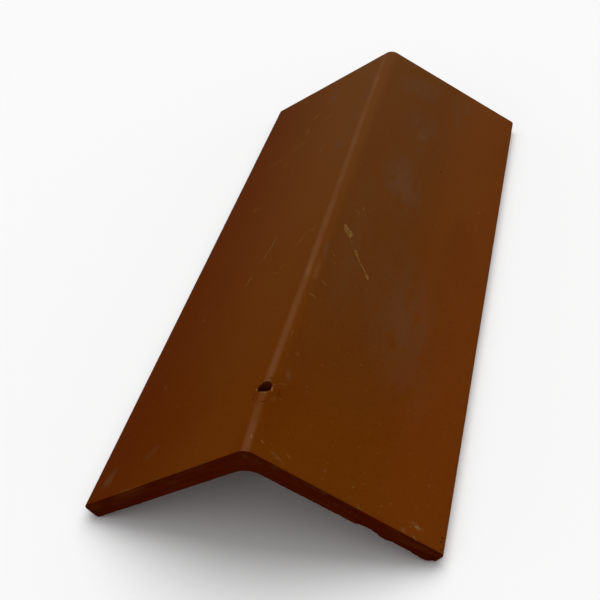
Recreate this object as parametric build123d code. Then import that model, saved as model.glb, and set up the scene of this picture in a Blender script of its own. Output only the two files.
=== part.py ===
from build123d import *
import math
import os

# Clay ridge tile: an angular section, wire-cut to length and punched for one nail.
# Sizes are in millimetres and degrees. X runs across the ridge, Y along it and Z up.
# The nail hole is near the -Y end, and the tile stands on the lower arrises of its two legs.

# The fired section
tile_length = 450.0
leg_width = 118.8
ridge_angle = 116.6
ridge_depth = 14.2
edge_thickness = 11.2
edge_lean = 10.0
ridge_radius = 8.0
throat_radius = 13.0
shoulder_radius = 2.5
foot_radius = 1.6
end_arris_radius = 0.4

# The nail hole, punched a little to the left of the ridge line
hole_diameter = 8.0
hole_from_end = 47.5
hole_off_ridge = 1.6

# Chips out of the lower arris at the holed end of the right leg, counted from the foot
long_chip_from_foot = 37.5
long_chip_length = 16.0
long_chip_depth = 1.5
shallow_chip_from_foot = 18.5
shallow_chip_length = 20.0
shallow_chip_depth = 0.8
foot_chip_radius = 20.0
foot_chip_depth = 2.6

# Corners of the right half of the section, from the sharp line where the outer faces meet
slope = math.radians((180.0 - ridge_angle) / 2.0)
lean = slope + math.radians(edge_lean)
shoulder_x = leg_width * math.cos(slope)
shoulder_z = -leg_width * math.sin(slope)
foot_x = shoulder_x - edge_thickness * math.sin(lean)
foot_z = shoulder_z - edge_thickness * math.cos(lean)
inner_slope = math.atan2(-ridge_depth - foot_z, foot_x)
holed_end = -tile_length / 2.0


def rounded(face, x, z, radius):
    """The section with the corner nearest to x, z rounded."""
    corner = min(face.vertices(), key=lambda v: math.hypot(v.X - x, v.Z - z))
    return fillet(corner, radius)


def section():
    """The drawn section: two flat legs that thin towards their edges, with every corner rounded."""
    right = [(0, 0), (shoulder_x, shoulder_z), (foot_x, foot_z), (0, -ridge_depth)]
    left = [(-x, z) for x, z in reversed(right[1:3])]
    face = Plane.XZ * make_face(Polyline(*right, *left, close=True))
    face = rounded(face, 0, 0, ridge_radius)
    face = rounded(face, 0, -ridge_depth, throat_radius)
    for side in (1, -1):
        face = rounded(face, side * shoulder_x, shoulder_z, shoulder_radius)
        face = rounded(face, side * foot_x, foot_z, foot_radius)
    return face


def body():
    """The section at its full length, with the arrises of both cut ends eased."""
    block = extrude(section(), amount=tile_length / 2.0, both=True)
    ends = block.edges().filter_by_position(Axis.Y, holed_end, holed_end)
    ends += block.edges().filter_by_position(Axis.Y, -holed_end, -holed_end)
    return fillet(ends, end_arris_radius)


def nail_hole():
    """One plumb hole through the ridge, longer than the clay is deep."""
    place = Pos(-hole_off_ridge, holed_end + hole_from_end, -ridge_depth / 2.0)
    return place * Cylinder(hole_diameter / 2.0, 3.0 * ridge_depth)


def arris_chip(from_foot, length, depth):
    """A shell-shaped chip in the lower arris, as deep in the cut end as it is under the leg."""
    out = (length**2 / 4.0 - depth**2) / (2.0 * depth)
    radius = math.sqrt(length**2 / 4.0 + 2.0 * out**2)
    x = foot_x - from_foot * math.cos(inner_slope) - out * math.sin(inner_slope)
    z = foot_z + from_foot * math.sin(inner_slope) - out * math.cos(inner_slope)
    return Pos(x, holed_end - out, z) * Sphere(radius)


def foot_chip():
    """The corner of the foot broken off almost level, from the cut end inwards."""
    place = Pos(foot_x, holed_end, foot_z + foot_chip_depth - foot_chip_radius)
    return place * Rot(90, 0, 0) * Sphere(foot_chip_radius)


def ridge_tile():
    """The whole tile, lifted so that its feet stand at Z = 0."""
    tile = body() - nail_hole() - foot_chip()
    tile -= arris_chip(long_chip_from_foot, long_chip_length, long_chip_depth)
    tile -= arris_chip(shallow_chip_from_foot, shallow_chip_length, shallow_chip_depth)
    return Pos(0, 0, -tile.bounding_box().min.Z) * tile


os.makedirs("parts", exist_ok=True)
export_step(ridge_tile(), "parts/ridge_tile.step")
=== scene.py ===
# %% [markdown]
# A clay ridge tile, looked at as a potter would look at it.
# The tile is one fired piece, so the CAD frame has one node, "ridge_tile", and one body, "root".
# The frame is loaded first, because everything modelled here has to lie where that solid lies.

# %% Load the frame
import bmesh
import bpy
import math
from mathutils import Matrix, Vector


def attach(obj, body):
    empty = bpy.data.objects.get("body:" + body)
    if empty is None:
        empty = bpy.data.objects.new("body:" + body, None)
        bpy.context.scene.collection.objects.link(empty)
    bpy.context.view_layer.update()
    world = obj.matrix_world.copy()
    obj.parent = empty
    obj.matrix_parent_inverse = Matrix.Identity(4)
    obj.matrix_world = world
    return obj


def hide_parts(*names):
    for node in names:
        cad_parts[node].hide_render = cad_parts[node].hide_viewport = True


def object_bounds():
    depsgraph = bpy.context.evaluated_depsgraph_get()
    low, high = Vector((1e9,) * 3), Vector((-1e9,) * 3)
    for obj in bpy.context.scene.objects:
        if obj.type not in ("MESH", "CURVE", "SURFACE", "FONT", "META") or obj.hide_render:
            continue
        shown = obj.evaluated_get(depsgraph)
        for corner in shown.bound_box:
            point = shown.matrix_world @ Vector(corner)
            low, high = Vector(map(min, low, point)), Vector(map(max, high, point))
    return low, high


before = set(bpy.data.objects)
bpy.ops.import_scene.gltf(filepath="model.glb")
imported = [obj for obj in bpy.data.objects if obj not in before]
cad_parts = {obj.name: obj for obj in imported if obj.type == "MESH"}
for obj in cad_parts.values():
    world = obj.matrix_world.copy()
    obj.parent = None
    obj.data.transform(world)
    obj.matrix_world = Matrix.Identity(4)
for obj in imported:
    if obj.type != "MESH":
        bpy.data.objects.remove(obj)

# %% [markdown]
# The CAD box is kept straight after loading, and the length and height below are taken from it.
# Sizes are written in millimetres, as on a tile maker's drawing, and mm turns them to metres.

mm = 0.001
cad_low, cad_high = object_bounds()
print("the solid spans", [round(v / mm, 2) for v in cad_high - cad_low], "mm")

# %% [markdown]
# The drawn section of the tile. Two flat legs meet in a rounded ridge and thin towards their edges.
# The length and the height come from the frame, and the rest are the sizes that the solid was drawn with.
# The sharp line where the outer faces would meet lies a little above the rounded crown.

# %% Sizes of the section
tile_length = cad_high.y - cad_low.y
leg_width = 118.8 * mm
ridge_angle = 116.6
ridge_depth = 14.2 * mm
edge_thickness = 11.2 * mm
edge_lean = 10.0
ridge_radius = 8.0 * mm
throat_radius = 13.0 * mm
shoulder_radius = 2.5 * mm
foot_radius = 1.6 * mm
end_arris_radius = 0.4 * mm

slope = math.radians((180.0 - ridge_angle) / 2.0)
lean = slope + math.radians(edge_lean)
ridge_z = cad_high.z + ridge_radius * (1.0 / math.cos(slope) - 1.0)
throat_z = ridge_z - ridge_depth
shoulder_x = leg_width * math.cos(slope)
shoulder_z = ridge_z - leg_width * math.sin(slope)
foot_x = shoulder_x - edge_thickness * math.sin(lean)
foot_z = shoulder_z - edge_thickness * math.cos(lean)
inner_slope = math.atan2(throat_z - foot_z, foot_x)
holed_end = cad_low.y
print("slope of a leg", round(math.degrees(slope), 2), "degrees")
print("ridge line at", round(ridge_z / mm, 2), "mm")

# %% [markdown]
# A few small helpers do what a hand does all the time in Blender.
# One clears the selection, because operators act on all that is selected.
# One opens a piece in edit mode, with all of it selected.
# One picks vertices, edges or faces in edit mode by a test, mostly on their place or their length.
# One applies a modifier, so that the next step works on real geometry.

# %% Helpers for selecting and applying
near = 0.01 * mm


def start_clean():
    """Leave edit mode and select nothing."""
    if bpy.context.object and bpy.context.object.mode == "EDIT":
        bpy.ops.object.mode_set(mode="OBJECT")
    bpy.ops.object.select_all(action="DESELECT")


def middle_of(edge):
    """The middle of an edge."""
    return (edge.verts[0].co + edge.verts[1].co) / 2.0


def reach(edge):
    """How far an edge goes along X, Y and Z."""
    return Vector([abs(v) for v in edge.verts[1].co - edge.verts[0].co])


def edit(piece):
    """Open one piece in edit mode with all of it selected."""
    start_clean()
    piece.select_set(True)
    bpy.context.view_layer.objects.active = piece
    bpy.ops.object.mode_set(mode="EDIT")
    bpy.ops.mesh.select_all(action="SELECT")


def pick(kind, test):
    """In edit mode, select the verts, edges or faces whose element passes the test, and nothing else."""
    bpy.ops.mesh.select_mode(type={"verts": "VERT", "edges": "EDGE", "faces": "FACE"}[kind])
    bpy.ops.mesh.select_all(action="DESELECT")
    mesh = bpy.context.edit_object.data
    cage = bmesh.from_edit_mesh(mesh)
    chosen = [part for part in getattr(cage, kind) if test(part)]
    for part in chosen:
        part.select_set(True)
    bmesh.update_edit_mesh(mesh)
    return len(chosen)


def apply_modifier(piece, kind, **settings):
    """Add one modifier with its settings and apply it."""
    start_clean()
    piece.select_set(True)
    bpy.context.view_layer.objects.active = piece
    modifier = piece.modifiers.new(kind.lower(), kind)
    for name, value in settings.items():
        setattr(modifier, name, value)
    bpy.ops.object.modifier_apply(modifier=modifier.name)


def triangles(piece):
    """How many triangles the piece will have."""
    return sum(len(face.vertices) - 2 for face in piece.data.polygons)


# %% [markdown]
# The real tile is extruded clay, so it is modelled as an extrusion too.
# A plane stood on edge becomes one half of the section.
# Each of its corners is carried to a corner of the drawing.
# Mirroring the half keeps the two legs alike, as the one steel die did.

# %% The half section
half_section = {
    "ridge": (0.0, ridge_z),
    "shoulder": (shoulder_x, shoulder_z),
    "foot": (foot_x, foot_z),
    "throat": (0.0, throat_z),
}
start_clean()
on_edge = {"location": (0.0, holed_end, ridge_z), "rotation": (math.pi / 2.0, 0.0, 0.0)}
bpy.ops.mesh.primitive_plane_add(size=2.0 * ridge_depth, **on_edge)
tile = bpy.context.object
tile.name = "ridge_tile_clay"
bpy.ops.object.transform_apply(location=True, rotation=True, scale=True)
bpy.ops.object.mode_set(mode="EDIT")
plane_corners = {"ridge": (-1, 1), "shoulder": (1, 1), "foot": (1, -1), "throat": (-1, -1)}
for name, (side, up) in plane_corners.items():
    x, z = half_section[name]
    start = Vector((side * ridge_depth, holed_end, ridge_z + up * ridge_depth))
    pick("verts", lambda v: (v.co - start).length < near)
    bpy.ops.transform.translate(value=Vector((x, holed_end, z)) - start)
bpy.ops.object.mode_set(mode="OBJECT")
apply_modifier(tile, "MIRROR", use_axis=(True, False, False), use_clip=True)
print("section corners", [tuple(round(c / mm, 2) for c in v.co.xz) for v in tile.data.vertices])

# %% [markdown]
# The column of clay is pushed out along Y and cut with a wire.
# Then the long edges are rounded: Bevel wants the distance from the sharp line to where the round starts.
# That distance is the radius times the tangent of half the turn between the two faces.

# %% Extrude and round the edges
crown_facets = 10
throat_facets = 10
shoulder_facets = 5
foot_facets = 4
arris_facets = 2


def round_edge(x, z, radius, turn, facets):
    """Round the long edge that passes through x, z."""
    found = pick("edges", lambda e: math.dist(middle_of(e).xz, (x, z)) < near and reach(e).y > mm)
    bpy.ops.mesh.bevel(offset=radius * math.tan(turn / 2.0), segments=facets, profile=0.5, affect="EDGES")
    print("rounded", found, "edge at", round(x / mm, 1), round(z / mm, 1), "to", radius / mm, "mm")


edit(tile)
bpy.ops.mesh.extrude_region_move(TRANSFORM_OT_translate={"value": (0, tile_length, 0)})
pick("edges", lambda e: all(abs(v.co.x) < near for v in e.verts) and reach(e).z > mm)
bpy.ops.mesh.dissolve_edges()
bpy.ops.mesh.select_all(action="SELECT")
bpy.ops.mesh.normals_make_consistent(inside=False)
round_edge(0.0, ridge_z, ridge_radius, 2.0 * slope, crown_facets)
round_edge(0.0, throat_z, throat_radius, 2.0 * inner_slope, throat_facets)
for side in (-1, 1):
    turn = math.pi / 2.0 + lean - slope
    round_edge(side * shoulder_x, shoulder_z, shoulder_radius, turn, shoulder_facets)
    turn = math.pi / 2.0 - lean + inner_slope
    round_edge(side * foot_x, foot_z, foot_radius, turn, foot_facets)
pick("edges", lambda e: reach(e).y < near)
bpy.ops.mesh.bevel(offset=end_arris_radius, segments=arris_facets, profile=0.5, affect="EDGES")
bpy.ops.object.mode_set(mode="OBJECT")
print("tile box", [round(v / mm, 2) for v in tile.dimensions])

# %% [markdown]
# A wire cutter slices clay, and here it slices the mesh into a net of small quads.
# Subdivide would cut the long flat faces unevenly, so Bisect is run plane by plane at a real spacing.
# The net is needed because fired clay is never dead flat, and only vertices can move.
# The cut ends get two slices along each leg as well, which part the clay into three layers.

# %% Slice the tile into a net
net_across = 3.0 * mm
net_along = 3.0 * mm
first_slice = 9.0 * mm
layer_shares = (0.33, 0.67)


def slice_tile(point, normal):
    """Cut all faces along one plane."""
    bpy.ops.mesh.select_all(action="SELECT")
    bpy.ops.mesh.bisect(plane_co=point, plane_no=normal)


edit(tile)
for side in (-1, 1):
    into_leg = Vector((-side * math.sin(slope), 0, -math.cos(slope)))
    for share in layer_shares:
        slice_tile(Vector((0, 0, ridge_z)) + into_leg * edge_thickness * share, into_leg)
    for step in range(int((foot_x - first_slice) / net_across) + 1):
        slice_tile((side * (first_slice + step * net_across), 0, 0), (1, 0, 0))
for step in range(1, int(tile_length / net_along)):
    slice_tile((0, holed_end + step * net_along, 0), (0, 1, 0))
bpy.ops.object.mode_set(mode="OBJECT")
print("net of", len(tile.data.polygons), "faces,", triangles(tile), "triangles")

# %% [markdown]
# No clay tile comes out of the kiln dead flat: it dries and fires with long, shallow waves.
# Displace moves each point along its normal by a noise. A mid level of 1 lets it only go inwards.
# So the tile stays inside the size that its die gave it. Then it is set down on its feet again.

# %% Firing waves and worn skin
wave_length = 70.0 * mm
wave_depth = 0.16 * mm
dent_length = 11.0 * mm
dent_depth = 0.07 * mm


def clay_noise(name, size, depth=1):
    """A cloudy noise of the given size for Displace."""
    noise = bpy.data.textures.new(name, "CLOUDS")
    noise.noise_scale = size
    noise.noise_depth = depth
    return noise


waves = clay_noise("firing_waves", wave_length)
dents = clay_noise("handling_dents", dent_length, 2)
apply_modifier(tile, "DISPLACE", texture=waves, strength=wave_depth, mid_level=1.0, texture_coords="LOCAL")
apply_modifier(tile, "DISPLACE", texture=dents, strength=dent_depth, mid_level=1.0, texture_coords="LOCAL")
lowest = min(v.co.z for v in tile.data.vertices)
edit(tile)
bpy.ops.transform.translate(value=(0, 0, -lowest))
bpy.ops.object.mode_set(mode="OBJECT")
print("set down by", round(lowest / mm, 3), "mm")

# %% [markdown]
# A material is named for what the real surface is, and every colour starts as an sRGB hex value.
# Blender works in linear light, so one function turns the hex value to linear.
# A second function adds a node: its properties are settings, and each input is a value or a link.

# %% Helpers for materials
def linear(text):
    """An sRGB hex colour as a linear colour with alpha."""
    parts = [int(text[start:start + 2], 16) / 255.0 for start in (0, 2, 4)]
    return [p / 12.92 if p <= 0.04045 else ((p + 0.055) / 1.055) ** 2.4 for p in parts] + [1.0]


def add_node(tree, kind, inputs=None, **settings):
    """Add a node with its settings, and give each named input its value or its link."""
    node = tree.nodes.new(kind)
    for name, value in settings.items():
        setattr(node, name, value)
    for socket, value in (inputs or {}).items():
        if isinstance(value, bpy.types.NodeSocket):
            tree.links.new(value, node.inputs[socket])
        else:
            node.inputs[socket].default_value = value
    return node


fired_clay_ior = 1.5


def new_clay(name, roughness, reflection):
    """A fired clay material: its tree, its shader and the place of each point of the tile."""
    clay = bpy.data.materials.new(name)
    clay.use_nodes = True
    tree = clay.node_tree
    shader = tree.nodes["Principled BSDF"]
    shader.inputs["Roughness"].default_value = roughness
    shader.inputs["Specular IOR Level"].default_value = reflection
    shader.inputs["IOR"].default_value = fired_clay_ior
    place = add_node(tree, "ShaderNodeTexCoord").outputs["Object"]
    return clay, tree, shader, place


# %% [markdown]
# The faces carry patterns of a few kinds, and each is a short function that returns a mask from 0 to 1.
# A zone has soft edges, and it turns any measure, such as a place or a noise, to such a mask.
# Clouds are soft patches, drawn out along the tile where the die dragged the clay.
# Specks are grains in some of the cells of a Voronoi net, and a rub is a soft streak between two points.

# %% Patterns with real sizes
soft_step = {"interpolation_type": "SMOOTHSTEP"}


def zone(tree, value, *edges):
    """A zone of a measure. Each of its edges is given by where it starts and where it is full."""
    mask = 1.0
    for start, full in edges:
        step = {"Value": value, "From Min": start, "From Max": full}
        step = add_node(tree, "ShaderNodeMapRange", step, **soft_step).outputs[0]
        mask = add_node(tree, "ShaderNodeMath", {0: mask, 1: step}, operation="MULTIPLY").outputs[0]
    return mask


def clouds(tree, place, size, low, high, stretch=(1.0, 1.0, 1.0)):
    """Soft patches of one size, drawn out by stretch along each axis."""
    laid = add_node(tree, "ShaderNodeMapping", {"Vector": place, "Scale": [1.0 / s for s in stretch]})
    inputs = {"Vector": laid.outputs[0], "Scale": 1.0 / size, "Detail": 3.0}
    noise = add_node(tree, "ShaderNodeTexNoise", inputs)
    return zone(tree, noise.outputs["Fac"], (low, high))


def specks(tree, place, spacing, radius):
    """Grains of one radius, scattered in a flat net of one spacing, over X and Y of the place."""
    flat = {"Vector": place, "Scale": 1.0 / spacing}
    net = add_node(tree, "ShaderNodeTexVoronoi", flat, voronoi_dimensions="2D")
    edge = (radius / spacing, 0.4 * radius / spacing)
    return zone(tree, net.outputs["Distance"], edge)


def rub(tree, place, start, end, width, strength):
    """A soft streak between two points of the plan, given in millimetres."""
    start, end = Vector(start) * mm, Vector(end) * mm
    along = end - start
    size = (along.length / 2.0 + width * mm, width * mm, 1.0)
    frame_of_streak = {
        "Vector": place,
        "Location": (*(start + end) / 2.0, 0.0),
        "Rotation": (0.0, 0.0, math.atan2(along.y, along.x)),
        "Scale": size,
    }
    local = add_node(tree, "ShaderNodeMapping", frame_of_streak, vector_type="TEXTURE")
    fade = add_node(tree, "ShaderNodeTexGradient", {"Vector": local.outputs[0]}, gradient_type="SPHERICAL")
    faint = {0: fade.outputs["Fac"], 1: strength}
    return add_node(tree, "ShaderNodeMath", faint, operation="MULTIPLY").outputs[0]


def all_rubs(tree, place, streaks):
    """The strongest of many streaks at each point."""
    total = 0.0
    for streak in streaks:
        pair = {0: rub(tree, place, *streak), 1: total}
        total = add_node(tree, "ShaderNodeMath", pair, operation="MAXIMUM").outputs[0]
    return total


def layered(tree, colour, layers):
    """A colour under layers. A layer is its colour, its mask, and the masks or shares that thin it."""
    for over, mask, *thinned in layers:
        for share in thinned:
            thinner = {0: mask, 1: share}
            mask = add_node(tree, "ShaderNodeMath", thinner, operation="MULTIPLY").outputs[0]
        mix = {0: mask, 6: colour, 7: over}
        colour = add_node(tree, "ShaderNodeMix", mix, data_type="RGBA").outputs[2]
    return colour


# %% [markdown]
# The face that the weather sees is terracotta: red clay, extruded through a polished die and fired.
# It gives the eye a matt brown orange with hardly any shine, because the pores swallow the reflection.
# It fired redder along the left edge and warmer along the right one, and a painted sheen makes it paler
# towards the far end and along the ridge.
# Streaks and specks could be painted at random, but the real ones tell how the tile was handled.
# So the large ones are placed one by one: grey patches, partly rubs of other tiles and partly painted sheen
# on the far half, and pale scuffs of grit.

# %% Colours and streaks of the face
clay_body = linear("5c2c03")
clay_red = linear("521f00")
clay_warm = linear("612d06")
clay_shade = linear("532b0b")
# One colour serves as painted sheen on the face and as real dust on the underside.
clay_dust_and_sheen = linear("634021")
clay_grey_and_sheen = linear("593922")
clay_pale = linear("75502c")
clay_dark = linear("421703")
clay_polish_and_highlight = linear("6f472a")
face_roughness = 0.85
face_reflection = 0.006
# The painted sheen: its strength at the far end, at the leg edges and right of the ridge, and where it
# starts along the tile.
full_sheen = 0.66
edge_sheen = 0.3
lee_sheen = 0.65
sheen_starts = -175.0 * mm

grey_patch = 9.0 * mm
scuff_grain = 1.3 * mm
grit_spacing = 14.0 * mm
grit_radius = 0.5 * mm
dust_spacing = 4.6 * mm
dust_radius = 0.34 * mm
pit_spacing = 19.0 * mm
pit_radius = 0.45 * mm

# Grey patches: partly rubs of other tiles, and partly painted sheen, mostly the broad patches on the far
# half of the right leg.
grey_rubs_and_sheen = [
    ((22, 184), (36, 201), 17, 0.8), ((34, 160), (39, 112), 18, 0.7), ((31, 90), (36, 34), 17, 0.9),
    ((56, 204), (59, 165), 6, 0.6), ((64, 212), (64, 194), 4, 0.7), ((47, -20), (64, -130), 26, 0.5),
    ((14, 60), (20, -110), 12, 0.3), ((-43, 204), (-41, 175), 3, 1.0), ((-8, 155), (-15, 132), 4, 0.8),
    ((-19, 100), (-18, 81), 6, 0.6), ((2.5, -39), (5.5, -62), 2.2, 1.0),
    ((-89, -202), (-91, -222), 4, 0.9), ((-63, -196), (-66, -201), 4, 0.5),
    ((-10, 200), (-14, 60), 7, 0.4), ((4, -158), (8, -166), 4, 0.35),
]
pale_streaks = [
    ((-30, 175), (-47, 135), 1.8, 0.3), ((-47, 135), (-66, 118), 2.0, 0.3),
    ((-66, 118), (-79, 114), 2.2, 0.35), ((-52, 172), (-53, 163), 1.5, 0.45),
    ((-55, 153), (-55, 139), 1.5, 0.45), ((-71, 216), (-72, 207), 1.6, 0.4),
    ((-9, -23), (-14, -23), 1.2, 0.4), ((-14, -23), (-20, -36), 1.5, 0.5),
    ((2.6, -60), (3.6, -83), 2.2, 0.45), ((12, 4), (17, 0), 1.2, 0.4),
    ((11, -218), (18, -221), 1.6, 0.4), ((-81, -224), (-60, -225), 1.0, 0.6),
    ((6.5, -161), (8.5, -168), 1.2, 0.3), ((78, -222), (80, -224), 1.6, 0.5),
    ((83, -216), (87, -217), 2.6, 0.5), ((-73, 51), (-73, 48), 3.0, 0.3),
    ((-61, 90), (-61, 89), 1.3, 0.45), ((-53, 90), (-53, 89), 1.3, 0.4), ((89, 85), (89, 84), 1.1, 0.5),
    ((87, 77), (86, 76), 1.1, 0.4), ((86, 63), (87, 53), 1.0, 0.3), ((8, -145), (8, -146), 1.5, 0.5),
    ((37, -212), (37, -213), 1.0, 0.5), ((4, -186), (5, -184), 2.0, 0.2),
    ((-25, -55), (-25, -56), 1.2, 0.5), ((-26, -60), (-27, -60), 1.2, 0.4),
    ((-79, -139), (-79, -140), 1.2, 0.5), ((-73, -78), (-73, -79), 1.2, 0.5),
    ((-75, -67), (-75, -68), 1.1, 0.4), ((-61, -164), (-61, -165), 1.0, 0.4),
]
# The crown streaks are partly rubs and partly painted glints on the crown highlight.
crown_rubs_and_glints = [
    ((-2.2, -62), (-1.7, -82), 1.6, 0.8), ((-3.9, 183), (-4.4, 170), 1.6, 0.9),
]
pressed_ring = ((-1.2, -179.3), (-1.2, -179.4), 11.0, 0.5)
print(len(grey_rubs_and_sheen + pale_streaks + crown_rubs_and_glints), "streaks on the face")

# %% [markdown]
# The relief of the skin is too fine to model: clay grain under a millimetre, and the drag lines of the die.
# Bump only tilts the light, and that is enough for relief thinner than a hair.
# The grain of real clay is about a tenth of a millimetre, so it is drawn coarser here, or it wouldn't show.

# %% Skin of the extruded clay
grain_size = 0.8 * mm
grain_height = 0.05 * mm
drag_width = 1.6 * mm
drag_height = 0.03 * mm
drag_length = 60.0
red_cloud = 45.0 * mm
dark_cloud = 5.0 * mm


def grainy(tree, place, height, detail):
    """The normal of a surface with grains of clay that stand up by a height."""
    inputs = {"Vector": place, "Scale": 1.0 / grain_size, "Detail": detail}
    grain = add_node(tree, "ShaderNodeTexNoise", inputs)
    bump = {"Height": grain.outputs["Fac"], "Distance": height}
    return add_node(tree, "ShaderNodeBump", bump).outputs["Normal"]


def clay_relief(tree, place, shader):
    """Fine grain and the drag lines of the die, as bump."""
    rough = grainy(tree, place, grain_height, 4.0)
    drag = clouds(tree, place, drag_width, 0.3, 0.7, stretch=(1.0, drag_length, 1.0))
    lines = {"Height": drag, "Distance": drag_height, "Normal": rough}
    tree.links.new(add_node(tree, "ShaderNodeBump", lines).outputs["Normal"], shader.inputs["Normal"])


def mottle(tree, place, colour):
    """Uneven firing: redder patches and small darker clouds."""
    redder = clouds(tree, place, red_cloud, 0.5, 0.75, stretch=(1.0, 2.5, 1.0))
    shade = clouds(tree, place, dark_cloud, 0.45, 0.8)
    return layered(tree, colour, [(clay_red, redder, 0.3), (clay_dark, shade, 0.1)])


# %% [markdown]
# The colour of the face is built up in layers: body, uneven firing, painted sheen, rubs and grit.
# Each layer is laid over the last by its mask, so a layer can be judged and changed by itself.
# The crown carries a pale band a little left of its middle. It is partly clay rubbed smooth and pale by
# hands and by the next tile, and partly a painted highlight, so it drifts across the crown towards the
# holed end.
# The zones and the band are measured from the middle of the tile, across it or along it.

# %% Weathered terracotta face
red_zone = (-15.0 * mm, -100.0 * mm)
warm_zone = (45.0 * mm, 85.0 * mm)
lee_begins = (0.0, 8.0 * mm)
lee_ends = (85.0 * mm, 40.0 * mm)
shade_along = (-200.0 * mm, -80.0 * mm)
# The crown band is partly a painted highlight, so its middle drifts along the tile as a highlight seen from
# the camera does.
band_starts = -1.9 * mm
band_ends = -4.9 * mm
band_turn = 1.6 * mm
band_drifts = -150.0 * mm
band_turns = -185.0 * mm
band_edge = 3.4 * mm
band_full = 0.5 * mm
band_patch = 12.0 * mm
band_faintest = 0.26
band_strongest = 0.55


def lee_mask(tree, x):
    """The part of the right leg beside the ridge."""
    return zone(tree, x, lee_begins, lee_ends)


def across_face(tree, x, y, lee):
    """Redder towards the left edge, darker right of the ridge and warmer towards the right edge."""
    redder = zone(tree, x, red_zone)
    shade = zone(tree, y, shade_along)
    warmer = zone(tree, x, warm_zone)
    layers = [(clay_red, redder), (clay_shade, lee, shade, 0.6), (clay_warm, warmer)]
    return layered(tree, clay_body, layers)


def sheen_masks(tree, x, y, lee):
    """Painted sheen: paler towards the far end, which is seen at a grazing angle, and along the ridge, and
    weaker right of the ridge.
    """
    along = {"Value": y, "From Min": sheen_starts, "From Max": cad_high.y, "To Max": full_sheen}
    along = add_node(tree, "ShaderNodeMapRange", along).outputs[0]
    off_ridge = add_node(tree, "ShaderNodeMath", {0: x}, operation="ABSOLUTE").outputs[0]
    across = {"Value": off_ridge, "From Min": ridge_radius, "From Max": shoulder_x, "To Min": 1.0}
    across["To Max"] = edge_sheen
    across = add_node(tree, "ShaderNodeMapRange", across).outputs[0]
    in_lee = {"Value": lee, "To Min": 1.0, "To Max": lee_sheen}
    in_lee = add_node(tree, "ShaderNodeMapRange", in_lee, **soft_step).outputs[0]
    return along, across, in_lee


def crown_masks(tree, place, x, y):
    """The pale band of the crown, partly rubbed clay and partly a painted highlight. It lies left of the
    middle, and crosses to the right at the holed end.
    """
    middle = {"Value": y, "From Min": band_drifts, "From Max": cad_high.y}
    middle.update({"To Min": band_starts, "To Max": band_ends})
    middle = add_node(tree, "ShaderNodeMapRange", middle, **soft_step).outputs[0]
    turn = {"Value": y, "From Min": band_turns, "From Max": cad_low.y, "To Max": band_turn}
    turn = add_node(tree, "ShaderNodeMapRange", turn, **soft_step).outputs[0]
    middle = add_node(tree, "ShaderNodeMath", {0: middle, 1: turn}, operation="ADD").outputs[0]
    aside = add_node(tree, "ShaderNodeMath", {0: x, 1: middle}, operation="SUBTRACT").outputs[0]
    aside = add_node(tree, "ShaderNodeMath", {0: aside}, operation="ABSOLUTE").outputs[0]
    uneven = clouds(tree, place, band_patch, 0.25, 0.65, stretch=(3.0, 3.0, 3.0))
    uneven = {"Value": uneven, "To Min": band_faintest, "To Max": band_strongest}
    uneven = add_node(tree, "ShaderNodeMapRange", uneven, **soft_step).outputs[0]
    return zone(tree, aside, (band_edge, band_full)), uneven


def terracotta_face():
    """The outer face and the edges of the legs."""
    clay, tree, shader, place = new_clay("terracotta_face", face_roughness, face_reflection)
    spot = add_node(tree, "ShaderNodeSeparateXYZ", {0: place})
    x, y = spot.outputs["X"], spot.outputs["Y"]
    lee = lee_mask(tree, x)
    broken = clouds(tree, place, grey_patch, 0.3, 0.6, stretch=(1.0, 2.5, 1.0))
    ragged_edge = clouds(tree, place, scuff_grain, 0.3, 0.6)
    colour = layered(tree, mottle(tree, place, across_face(tree, x, y, lee)), [
        # Painted sheen of grazing reflection over the far end and along the ridge.
        (clay_dust_and_sheen, *sheen_masks(tree, x, y, lee)),
        # Grey patches, partly painted sheen.
        (clay_grey_and_sheen, all_rubs(tree, place, grey_rubs_and_sheen), broken),
        (clay_red, rub(tree, place, *pressed_ring)),
        # Painted highlight on the crown, together with its rubbed pale band.
        (clay_polish_and_highlight, *crown_masks(tree, place, x, y)),
        (clay_pale, specks(tree, place, grit_spacing, grit_radius), 0.4),
        (clay_pale, specks(tree, place, dust_spacing, dust_radius), 0.2),
        (clay_dark, specks(tree, place, pit_spacing, pit_radius), 0.5),
        (clay_pale, all_rubs(tree, place, pale_streaks + crown_rubs_and_glints), ragged_edge),
    ])
    tree.links.new(colour, shader.inputs["Base Color"])
    clay_relief(tree, place, shader)
    return clay


# %% [markdown]
# The underside is the same extruded clay, but it was never rubbed or rained on.
# It gives the eye one even brown, with dust caught in soft streaks along the tile.

# %% Terracotta underside
under_dust = 30.0 * mm
under_grit_spacing = 13.0 * mm
under_grit_radius = 0.6 * mm


def terracotta_underside():
    """The face that lies over the roof."""
    clay, tree, shader, place = new_clay("terracotta_underside", face_roughness, face_reflection)
    dust = clouds(tree, place, under_dust, 0.4, 0.7, stretch=(1.0, 4.0, 1.0))
    grit = specks(tree, place, under_grit_spacing, under_grit_radius)
    colour = mottle(tree, place, clay_body)
    colour = layered(tree, colour, [(clay_dust_and_sheen, dust, 0.4), (clay_dark, grit, 0.5)])
    tree.links.new(colour, shader.inputs["Base Color"])
    clay_relief(tree, place, shader)
    return clay


# %% [markdown]
# The two ends were cut with a wire, which drags grit through the wet clay and leaves it rough and dark.
# It gives the eye a maroon face with faint lines that run along each leg, and a few browner patches.
# The lines follow both legs because the pattern reads the distance from the ridge, not X itself.

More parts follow.
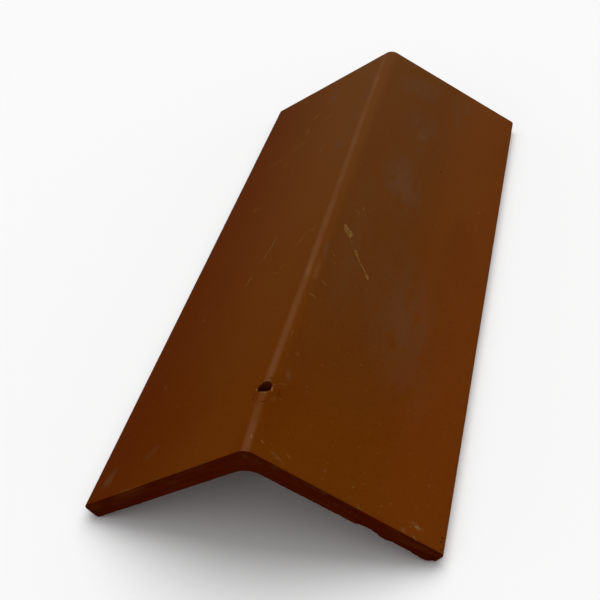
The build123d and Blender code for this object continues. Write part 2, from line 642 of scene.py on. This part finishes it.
# %% Wire-cut clay
# The cut body is darker than the face, partly for the rough cut clay and partly as painted shade of ends
# that the lamp above and behind hardly reaches.
cut_body_and_shade = linear("431000")
cut_brown = linear("522409")
cut_olive = linear("4c3012")
cut_black = linear("2a0500")
cut_line = 0.9 * mm
cut_line_height = 0.12 * mm
cut_cloud = 9.0 * mm
cut_grit_spacing = 4.5 * mm
cut_grit_radius = 0.35 * mm
grit_height = 2.0 * grain_height
rough_clay = 0.9
cut_patches = [
    ((-80, 20), (-60, 31), 5, 0.8), ((78, 16), (95, 8), 3, 0.7), ((-97, 10), (-90, 8), 5, 0.5),
    ((-52, 36), (-40, 40), 1.5, 0.4),
]
crown_grime = [
    ((-1, 65.5), (0, 64), 1.6, 0.5), ((5, 63), (8, 61), 1.8, 0.4), ((12, 60), (17, 58), 2.0, 0.35),
    ((38, 45), (40, 44), 1.6, 0.6), ((-66, 30), (-62, 32), 1.5, 0.5),
]


def cut_end_clay_and_shade():
    """The two cut ends, and what was knocked off them long ago, darkened partly by painted shade."""
    clay, tree, shader, place = new_clay("cut_end_clay_and_shade", rough_clay, face_reflection)
    spot = add_node(tree, "ShaderNodeSeparateXYZ", {0: place})
    off_ridge = add_node(tree, "ShaderNodeMath", {0: spot.outputs["X"]}, operation="ABSOLUTE").outputs[0]
    folded = {"X": off_ridge, "Y": spot.outputs["Y"], "Z": spot.outputs["Z"]}
    folded = add_node(tree, "ShaderNodeCombineXYZ", folded).outputs[0]
    turned = {"Vector": folded, "Rotation": (0.0, -slope, 0.0)}
    down_leg = add_node(tree, "ShaderNodeMapping", turned).outputs[0]
    upright = {"X": spot.outputs["X"], "Y": spot.outputs["Z"]}
    upright = add_node(tree, "ShaderNodeCombineXYZ", upright).outputs[0]
    lines = clouds(tree, down_leg, cut_line, 0.35, 0.7, stretch=(30.0, 30.0, 1.0))
    patches = clouds(tree, down_leg, cut_cloud, 0.5, 0.75, stretch=(2.5, 1.0, 1.0))
    colour = layered(tree, cut_body_and_shade, [
        (cut_brown, patches, 0.35),
        (cut_brown, all_rubs(tree, upright, cut_patches)),
        (cut_olive, all_rubs(tree, upright, crown_grime)),
        (cut_black, lines, 0.35),
        (cut_olive, specks(tree, upright, cut_grit_spacing, cut_grit_radius), 0.5),
    ])
    tree.links.new(colour, shader.inputs["Base Color"])
    gritty = grainy(tree, place, grit_height, 5.0)
    dragged = {"Height": lines, "Distance": cut_line_height, "Normal": gritty}
    tree.links.new(add_node(tree, "ShaderNodeBump", dragged).outputs["Normal"], shader.inputs["Normal"])
    return clay


# %% [markdown]
# Where the skin is knocked off, the inside of the clay shows, powdery and paler than the face.
# Old pits and the pressed ring are coloured darker instead, and the wall of the hole is torn red clay.
# One function makes all three, because only their two colours and the size of their patches differ.

# %% Bare, dark and torn clay
powdery_clay = 0.95


def broken_clay(name, colour, other, patch):
    """Clay without its skin, mottled between two colours."""
    clay, tree, shader, place = new_clay(name, powdery_clay, face_reflection)
    patches = clouds(tree, place, patch, 0.35, 0.65)
    mixed = layered(tree, linear(colour), [(linear(other), patches)])
    tree.links.new(mixed, shader.inputs["Base Color"])
    tree.links.new(grainy(tree, place, grit_height, 5.0), shader.inputs["Normal"])
    return clay


weathered = terracotta_face()
underside = terracotta_underside()
shaded_cut_clay = cut_end_clay_and_shade()
bare = broken_clay("bare_clay", "735327", "5e3e1c", 1.5 * mm)
dark_recess = broken_clay("dark_recess_clay", "4c1a00", "3e1200", 1.0 * mm)
torn = broken_clay("torn_clay", "5a1e06", "6c2c0e", 1.2 * mm)
print("materials", [m.name for m in (weathered, underside, shaded_cut_clay, bare, dark_recess, torn)])

# %% [markdown]
# Each face of the mesh gets its clay before anything is cut, because the cutters bring their own.
# Faces are picked by their normal. Those that look along Y were cut by the wire.
# Those that look down lie over the roof.

# %% Give the faces their clay
cut_face = 0.6
under_face = -0.3


def facing_along(face):
    """Whether a face looks along the tile."""
    return abs(face.normal.y) > cut_face


def facing_down(face):
    """Whether a face looks down, and was not cut by the wire."""
    return face.normal.z < under_face and not facing_along(face)


for clay in (weathered, underside, shaded_cut_clay):
    tile.data.materials.append(clay)
edit(tile)
for slot_number, test in ((1, facing_down), (2, facing_along)):
    count = pick("faces", test)
    tile.active_material_index = slot_number
    bpy.ops.object.material_slot_assign()
    print(count, "faces of", tile.data.materials[slot_number].name)
bpy.ops.object.mode_set(mode="OBJECT")

# %% [markdown]
# Damage is cut with small lumps: ragged balls, each squeezed to the size of its chip.
# A lump has to sit on the real skin, which the waves have moved, so a ray finds the skin first.
# The lumps wait in a list, and all are cut at the end, so that none is placed in the hole of another.

# %% Lumps that cut chips
ragged = clay_noise("ragged_break", 0.9, 2)
cutters = []


def touch(x, y):
    """The place and the normal of the skin above x, y of the plan, given in metres."""
    found, place, normal, number = tile.ray_cast((x, y, 2.0 * cad_high.z), (0.0, 0.0, -1.0))
    if not found:
        raise ValueError(f"no clay at {x / mm:.1f}, {y / mm:.1f} mm")
    return place.copy(), normal.copy()


def lump(clay, place, axes, half_sizes, roughness=0.5):
    """A ragged ball of one clay, with its three axes turned and its half sizes in millimetres."""
    start_clean()
    apart = (3.0 * len(cutters), 0.0, 0.0)
    bpy.ops.mesh.primitive_ico_sphere_add(subdivisions=3, radius=1.0, location=apart)
    ball = bpy.context.object
    ball.name = f"lump_{len(cutters)}"
    ball.data.materials.append(clay)
    noise = {"texture": ragged, "strength": roughness, "mid_level": 0.5, "texture_coords": "GLOBAL"}
    apply_modifier(ball, "DISPLACE", **noise)
    turned = Matrix(axes).transposed().to_quaternion()
    ball.matrix_world = Matrix.LocRotScale(place, turned, Vector(half_sizes) * mm)
    bpy.ops.object.transform_apply(location=True, rotation=True, scale=True)
    cutters.append(ball)


def nick(clay, x, y, length, width, depth, turn):
    """A shallow dish in the skin. Places and sizes are in millimetres, and turn is in degrees from X."""
    place, normal = touch(x * mm, y * mm)
    along = Vector((math.cos(math.radians(turn)), math.sin(math.radians(turn)), 0.0))
    along = (along - along.dot(normal) * normal).normalized()
    lump(clay, place, (along, normal.cross(along), normal), (length / 2.0, width / 2.0, depth))


# %% [markdown]
# A scratch is cut with a thin round rod that follows the skin.
# The rod is lifted out at both ends, so the scratch fades as a real one does.
# Its radius is worked out from the width and depth that it leaves.

# %% Rods that cut scratches
def stops_along(points, step):
    """The points of a bent line, and more between them, about a step apart."""
    stops = [Vector(points[0])]
    for start, end in zip(points, points[1:]):
        start, end = Vector(start), Vector(end)
        parts = max(1, round((end - start).length / step))
        stops += [start.lerp(end, part / parts) for part in range(1, parts + 1)]
    return stops


def scratch(clay, points, width, depth, step=2.0):
    """A groove through points of the plan. All sizes are in millimetres."""
    radius = (width**2 / 4.0 + depth**2) / (2.0 * depth)
    stops = stops_along(points, step)
    rod = bpy.data.curves.new("scratch_rod", "CURVE")
    rod.dimensions = "3D"
    rod.bevel_depth = radius * mm
    rod.bevel_resolution = 5
    rod.use_fill_caps = True
    line = rod.splines.new("POLY")
    line.points.add(len(stops) - 1)
    for number, stop in enumerate(stops):
        share = math.sin(math.pi * (number + 0.3) / (len(stops) - 0.4))
        place, normal = touch(*(stop * mm))
        place += normal * (radius - depth * share) * mm
        line.points[number].co = (*place, 1.0)
    start_clean()
    piece = bpy.data.objects.new("scratch_rod", rod)
    bpy.context.collection.objects.link(piece)
    piece.select_set(True)
    bpy.context.view_layer.objects.active = piece
    bpy.ops.object.convert(target="MESH")
    piece = bpy.context.object
    edit(piece)
    bpy.ops.mesh.remove_doubles(threshold=0.1 * near)
    bpy.ops.mesh.normals_make_consistent(inside=False)
    bpy.ops.object.mode_set(mode="OBJECT")
    piece.data.materials.append(clay)
    cutters.append(piece)


# %% [markdown]
# The nail hole was punched through the wet ridge, so it is a rough D and not a drilled circle.
# A cylinder is cut flat on two sides with Bisect, sliced across, and made ragged with a small noise.
# Its wall is clay that the punch tore, with no skin on it.

# %% Punch the nail hole
hole_x = -2.2 * mm
hole_y = -177.1 * mm
punch_radius = 4.2 * mm
punch_length = 40.0 * mm
punch_sides = 40
punch_slices = 16
tear_size = 2.0 * mm
tear_depth = 0.3 * mm
flat_right = 3.8 * mm
flat_near = 3.7 * mm
near_turn = math.radians(-95.0)

start_clean()
middle = Vector((hole_x, hole_y, ridge_z - ridge_depth / 2.0))
punch_size = {"vertices": punch_sides, "radius": punch_radius, "depth": punch_length}
bpy.ops.mesh.primitive_cylinder_add(**punch_size, location=middle)
punch = bpy.context.object
punch.data.materials.append(torn)
bpy.ops.object.transform_apply(location=True, rotation=True, scale=True)
bpy.ops.object.mode_set(mode="EDIT")
for flat, turn in ((flat_right, 0.0), (flat_near, near_turn)):
    bpy.ops.mesh.select_all(action="SELECT")
    aside = Vector((math.cos(turn), math.sin(turn), 0.0))
    bpy.ops.mesh.bisect(plane_co=middle + flat * aside, plane_no=aside, use_fill=True, clear_outer=True)
for number in range(1, punch_slices):
    bpy.ops.mesh.select_all(action="SELECT")
    height = middle.z + punch_length * (number / punch_slices - 0.5)
    bpy.ops.mesh.bisect(plane_co=(0.0, 0.0, height), plane_no=(0.0, 0.0, 1.0))
bpy.ops.object.mode_set(mode="OBJECT")
tears = clay_noise("torn_wall", tear_size, 2)
apply_modifier(punch, "DISPLACE", texture=tears, strength=tear_depth, mid_level=0.5, texture_coords="LOCAL")
cutters.append(punch)
print("punch", [round(v / mm, 1) for v in punch.dimensions], "mm")

# %% [markdown]
# The lower arris of the right leg is knocked at the holed end: two shell-shaped chips and a broken foot.
# They lie where the solid has them, and here each is a few ragged lumps that lie along the arris.
# A chip is given by its distance from the foot along the underside, its length and its depth.

# %% Chips of the lower arris
# The chips are cut with the dark cut-end clay, so its painted shade lies on them too.
arris_chips = [
    (39.0, 15.0, 1.8), (42.0, 6.0, 1.9), (35.0, 6.0, 1.3), (18.5, 20.0, 1.0), (14.0, 5.0, 1.1),
    (24.0, 5.0, 1.0), (56.0, 6.0, 0.5), (72.0, 4.0, 0.4),
]
down_leg = Vector((math.cos(inner_slope), 0.0, -math.sin(inner_slope)))
off_leg = Vector((-math.sin(inner_slope), 0.0, -math.cos(inner_slope)))
towards_end = Vector((0.0, -1.0, 0.0))
foot = Vector((foot_x, holed_end, foot_z))
for from_foot, length, depth in arris_chips:
    place = foot - down_leg * from_foot * mm
    axes = (down_leg, towards_end, off_leg)
    lump(shaded_cut_clay, place, axes, (length / 2.0, depth, depth), roughness=0.35)
foot_chips = [(-4.0, (9.5, 8.0, 2.4)), (-9.0, (5.0, 5.0, 1.6)), (0.5, (3.0, 6.0, 2.9))]
for aside, half_sizes in foot_chips:
    place = foot + Vector((aside * mm, 0.0, 0.0))
    lump(shaded_cut_clay, place, Matrix.Identity(3), half_sizes, roughness=0.3)
print(len(arris_chips + foot_chips), "lumps along the lower arris")

# %% [markdown]
# Knocks and scrapes that went through the skin show the pale inside of the clay.
# The largest is the scrape on the right leg, with a thin streak that runs on from it.
# The rim of the hole is spalled where the punch broke out, and one hairline crack runs from it.

# %% Pale chips and scrapes
rim_spalls = [
    (-2.2, -181.3, 6.8, 1.6, 0.4, -8), (2.0, -178.2, 4.2, 1.6, 0.4, -76),
    (-6.9, -177.5, 3.8, 1.3, 0.35, -60), (1.5, -175.0, 1.6, 0.8, 0.3, -40),
    (-5.0, -174.0, 3.0, 0.5, 0.2, 45),
]
scrapes = [
    (10.9, -20.4, 8.6, 4.0, 0.26, -62), (14.2, -21.6, 5.2, 2.6, 0.22, -48),
    (13.4, -24.4, 5.0, 3.2, 0.24, -66), (16.0, -29.7, 1.9, 1.3, 0.2, -60),
    (20.4, -37.9, 7.0, 2.2, 0.2, -64), (29.8, -53.3, 5.2, 2.4, 0.2, -62),
    (-48.8, -58.0, 1.9, 1.1, 0.16, -100), (-31.9, 95.3, 8.0, 1.0, 0.16, -111),
    (11.0, -57.6, 0.9, 0.9, 0.14, 0), (16.4, 8.8, 2.8, 0.9, 0.14, -62),
    (20.8, 11.5, 1.4, 0.9, 0.14, 40), (10.1, 7.5, 1.3, 0.9, 0.14, 0), (8.9, -50.6, 2.0, 0.7, 0.14, -58),
    (1.9, -131.7, 6.0, 0.7, 0.12, -88), (1.3, -145.6, 1.2, 0.6, 0.1, 0),
    (0.4, -214.0, 3.2, 1.2, 0.16, -70), (6.2, -214.8, 2.4, 0.8, 0.15, -30),
    (19.3, -215.2, 2.6, 0.7, 0.14, -22),
]
corner_knocks = [
    (85.2, -216.8, 4.0, 1.6, 0.14, 5), (84.6, -223.8, 3.8, 1.3, 0.4, -30),
    (78.4, -222.9, 1.6, 0.8, 0.2, 0), (81.6, -218.7, 1.0, 0.7, 0.15, 0),
    (56.2, -223.7, 1.8, 0.9, 0.25, 0), (51.5, -213.2, 1.1, 0.8, 0.12, 0),
    (65.2, -205.0, 1.1, 0.8, 0.12, 0), (87.0, -186.6, 1.7, 0.8, 0.14, -70),
    (66.3, -215.3, 0.8, 0.7, 0.12, 0), (70.4, -211.0, 0.9, 0.7, 0.12, 0),
]
for x, y, length, width, depth, turn in rim_spalls + scrapes + corner_knocks:
    nick(bare, x, y, length, width, depth, turn)
scratches = [
    ([(1.6, -174.6), (3.5, -174.6), (4.7, -172.6), (7.9, -170.6)], 0.5, 0.16),
    ([(18.8, -34.7), (23.6, -44.3), (26.4, -47.6), (30.2, -54.2)], 0.9, 0.14),
    ([(7.1, -78.5), (10.9, -80.5)], 0.8, 0.12),
    ([(2.9, -94.8), (6.2, -94.8), (7.7, -96.8)], 0.8, 0.12),
    ([(-40.2, -7.7), (-40.8, -19.9), (-42.6, -28.1), (-43.7, -35.1)], 0.8, 0.11),
    ([(-46.9, -47.5), (-49.0, -58.6)], 0.7, 0.11),
]
for points, width, depth in scratches:
    scratch(bare, points, width, depth)
print(len(rim_spalls + scrapes + corner_knocks), "pale chips and", len(scratches), "scratches")

# %% [markdown]
# A washer stood on the ridge while the nail was driven, and it left a broken ring around the hole.
# The ring bends over the ridge, so in plan it is narrower across than along.
# It and a few round pits in the right edge are coloured darker, so they are cut with the darker clay.

# %% Washer ring and pits
ring_x = -1.2
ring_y = -179.6
ring_across = 7.2
ring_along = 9.2
ring_width = 0.5
ring_depth = 0.1
pit_depth = 0.45
ring_arcs = [(70, 98), (-18, 20), (-98, -68), (214, 232)]
for first, last in ring_arcs:
    turns = [math.radians(first + (last - first) * step / 8.0) for step in range(9)]
    points = [(ring_x + ring_across * math.cos(t), ring_y + ring_along * math.sin(t)) for t in turns]
    scratch(dark_recess, points, ring_width, ring_depth, step=1.0)
pits = [
    (97.9, -215.3, 1.2), (97.5, -218.2, 1.1), (98.3, -222.4, 1.0), (56.3, 99.0, 1.2),
    (-74.0, -112.0, 0.9),
]
for x, y, width in pits:
    nick(dark_recess, x, y, width, width, pit_depth, 0)
print(len(ring_arcs), "arcs of the ring and", len(pits), "pits")

# %% [markdown]
# Each cutter is taken away from the tile by a Boolean, one after the other, so that they may overlap.
# The Manifold solver is quick and keeps the mesh closed, and Transfer hands on the cutter's own clay.
# Cuts leave slivers thinner than a hair, so all faces are made triangles and the thin ones are dissolved.

# %% Cut the hole, the chips and the scratches
sliver = 0.01 * mm

for cutter in cutters:
    cut = {"operation": "DIFFERENCE", "object": cutter, "solver": "MANIFOLD", "material_mode": "TRANSFER"}
    apply_modifier(tile, "BOOLEAN", **cut)
    bpy.data.objects.remove(cutter)
print("cut", len(cutters), "marks, and the tile has", triangles(tile), "triangles")
edit(tile)
bpy.ops.mesh.quads_convert_to_tris()
bpy.ops.mesh.dissolve_degenerate(threshold=sliver)
bpy.ops.object.mode_set(mode="OBJECT")
print("without slivers it has", triangles(tile))

# %% [markdown]
# Smooth shading hides the facets of the rounded edges, and the angle keeps the arrises crisp.
# The rim of each chip is marked sharp first, or its shading would bleed over the flat skin beside it.

# %% Shade the tile
crisp_angle = math.radians(35.0)


def between_clays(edge):
    """Whether the two faces at an edge are of different clay."""
    clays = [face.material_index for face in edge.link_faces]
    return len(clays) == 2 and clays[0] != clays[1]


edit(tile)
rims = pick("edges", between_clays)
bpy.ops.mesh.mark_sharp()
open_edges = pick("edges", lambda e: len(e.link_faces) != 2)
bpy.ops.object.mode_set(mode="OBJECT")
bpy.ops.object.shade_smooth_by_angle(angle=crisp_angle)
print(rims, "rim edges,", open_edges, "open edges,", triangles(tile), "triangles")

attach(tile, "root")
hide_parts("ridge_tile")

# %% Floor
floor_size = 14.0
start_clean()
bpy.ops.mesh.primitive_plane_add(size=floor_size)
floor = bpy.context.object
floor.name = "pale_floor"
paper = bpy.data.materials.new("matt_white_paper")
paper.use_nodes = True
paper.node_tree.nodes["Principled BSDF"].inputs["Base Color"].default_value = linear("f4f4f4")
paper.node_tree.nodes["Principled BSDF"].inputs["Roughness"].default_value = 0.95
paper.node_tree.nodes["Principled BSDF"].inputs["Specular IOR Level"].default_value = 0.0
floor.data.materials.append(paper)

# %% [markdown]
# The light is one very large soft lamp, above the tile and a little behind it, in a pale room.
# From there the top faces are evenly lit, the ridge catches a thin band, and the near end is in shade.
# A sun lamp with a wide angle does this at any size, and its soft edge leaves no hard shadow.

# %% Light
lamp_strength = 2.05
lamp_width = math.radians(60.0)
lamp_tilt = math.radians(-32.0)
room_strength = 0.5

lamp = bpy.data.lights.new("soft_lamp", "SUN")
lamp.energy = lamp_strength
lamp.angle = lamp_width
lamp_object = bpy.data.objects.new("soft_lamp", lamp)
lamp_object.rotation_euler = (lamp_tilt, 0.0, 0.0)
bpy.context.scene.collection.objects.link(lamp_object)
room = bpy.data.worlds.new("pale_room")
room.use_nodes = True
room.node_tree.nodes["Background"].inputs["Color"].default_value = linear("ffffff")
room.node_tree.nodes["Background"].inputs["Strength"].default_value = room_strength
bpy.context.scene.world = room
bpy.context.scene.view_settings.view_transform = "Standard"
print("lamp", lamp_strength, "room", room_strength)

# %% [markdown]
# The camera looks down along the tile from its holed end, a little from the right, and is held askew.
# Azimuth, height and roll turn it, and the lens is a short telephoto, so the far end looks little smaller.
# Its matrix is put together from three directions: to the right, up, and back towards the eye.

# %% Camera
azimuth = math.radians(16.672)
height_angle = math.radians(38.27)
roll = math.radians(-5.568)
aim = Vector((-0.0071, -0.0799, 0.05))
distance = 0.66294
lens = 64.78

camera = bpy.data.cameras.new("camera")
camera.lens = lens
camera.sensor_width = 36.0
camera.clip_start = 0.01
camera_object = bpy.data.objects.new("camera", camera)
level = math.cos(height_angle)
back = Vector((math.sin(azimuth) * level, -math.cos(azimuth) * level, math.sin(height_angle)))
right = Vector((math.cos(azimuth), math.sin(azimuth), 0.0))
up = back.cross(right)
right_rolled = math.cos(roll) * right + math.sin(roll) * up
up_rolled = math.cos(roll) * up - math.sin(roll) * right
stand = Matrix((right_rolled, up_rolled, back)).transposed().to_4x4()
stand.translation = aim + back * distance
camera_object.matrix_world = stand
bpy.context.scene.collection.objects.link(camera_object)
bpy.context.scene.camera = camera_object
print("camera at", [round(v, 3) for v in stand.translation])
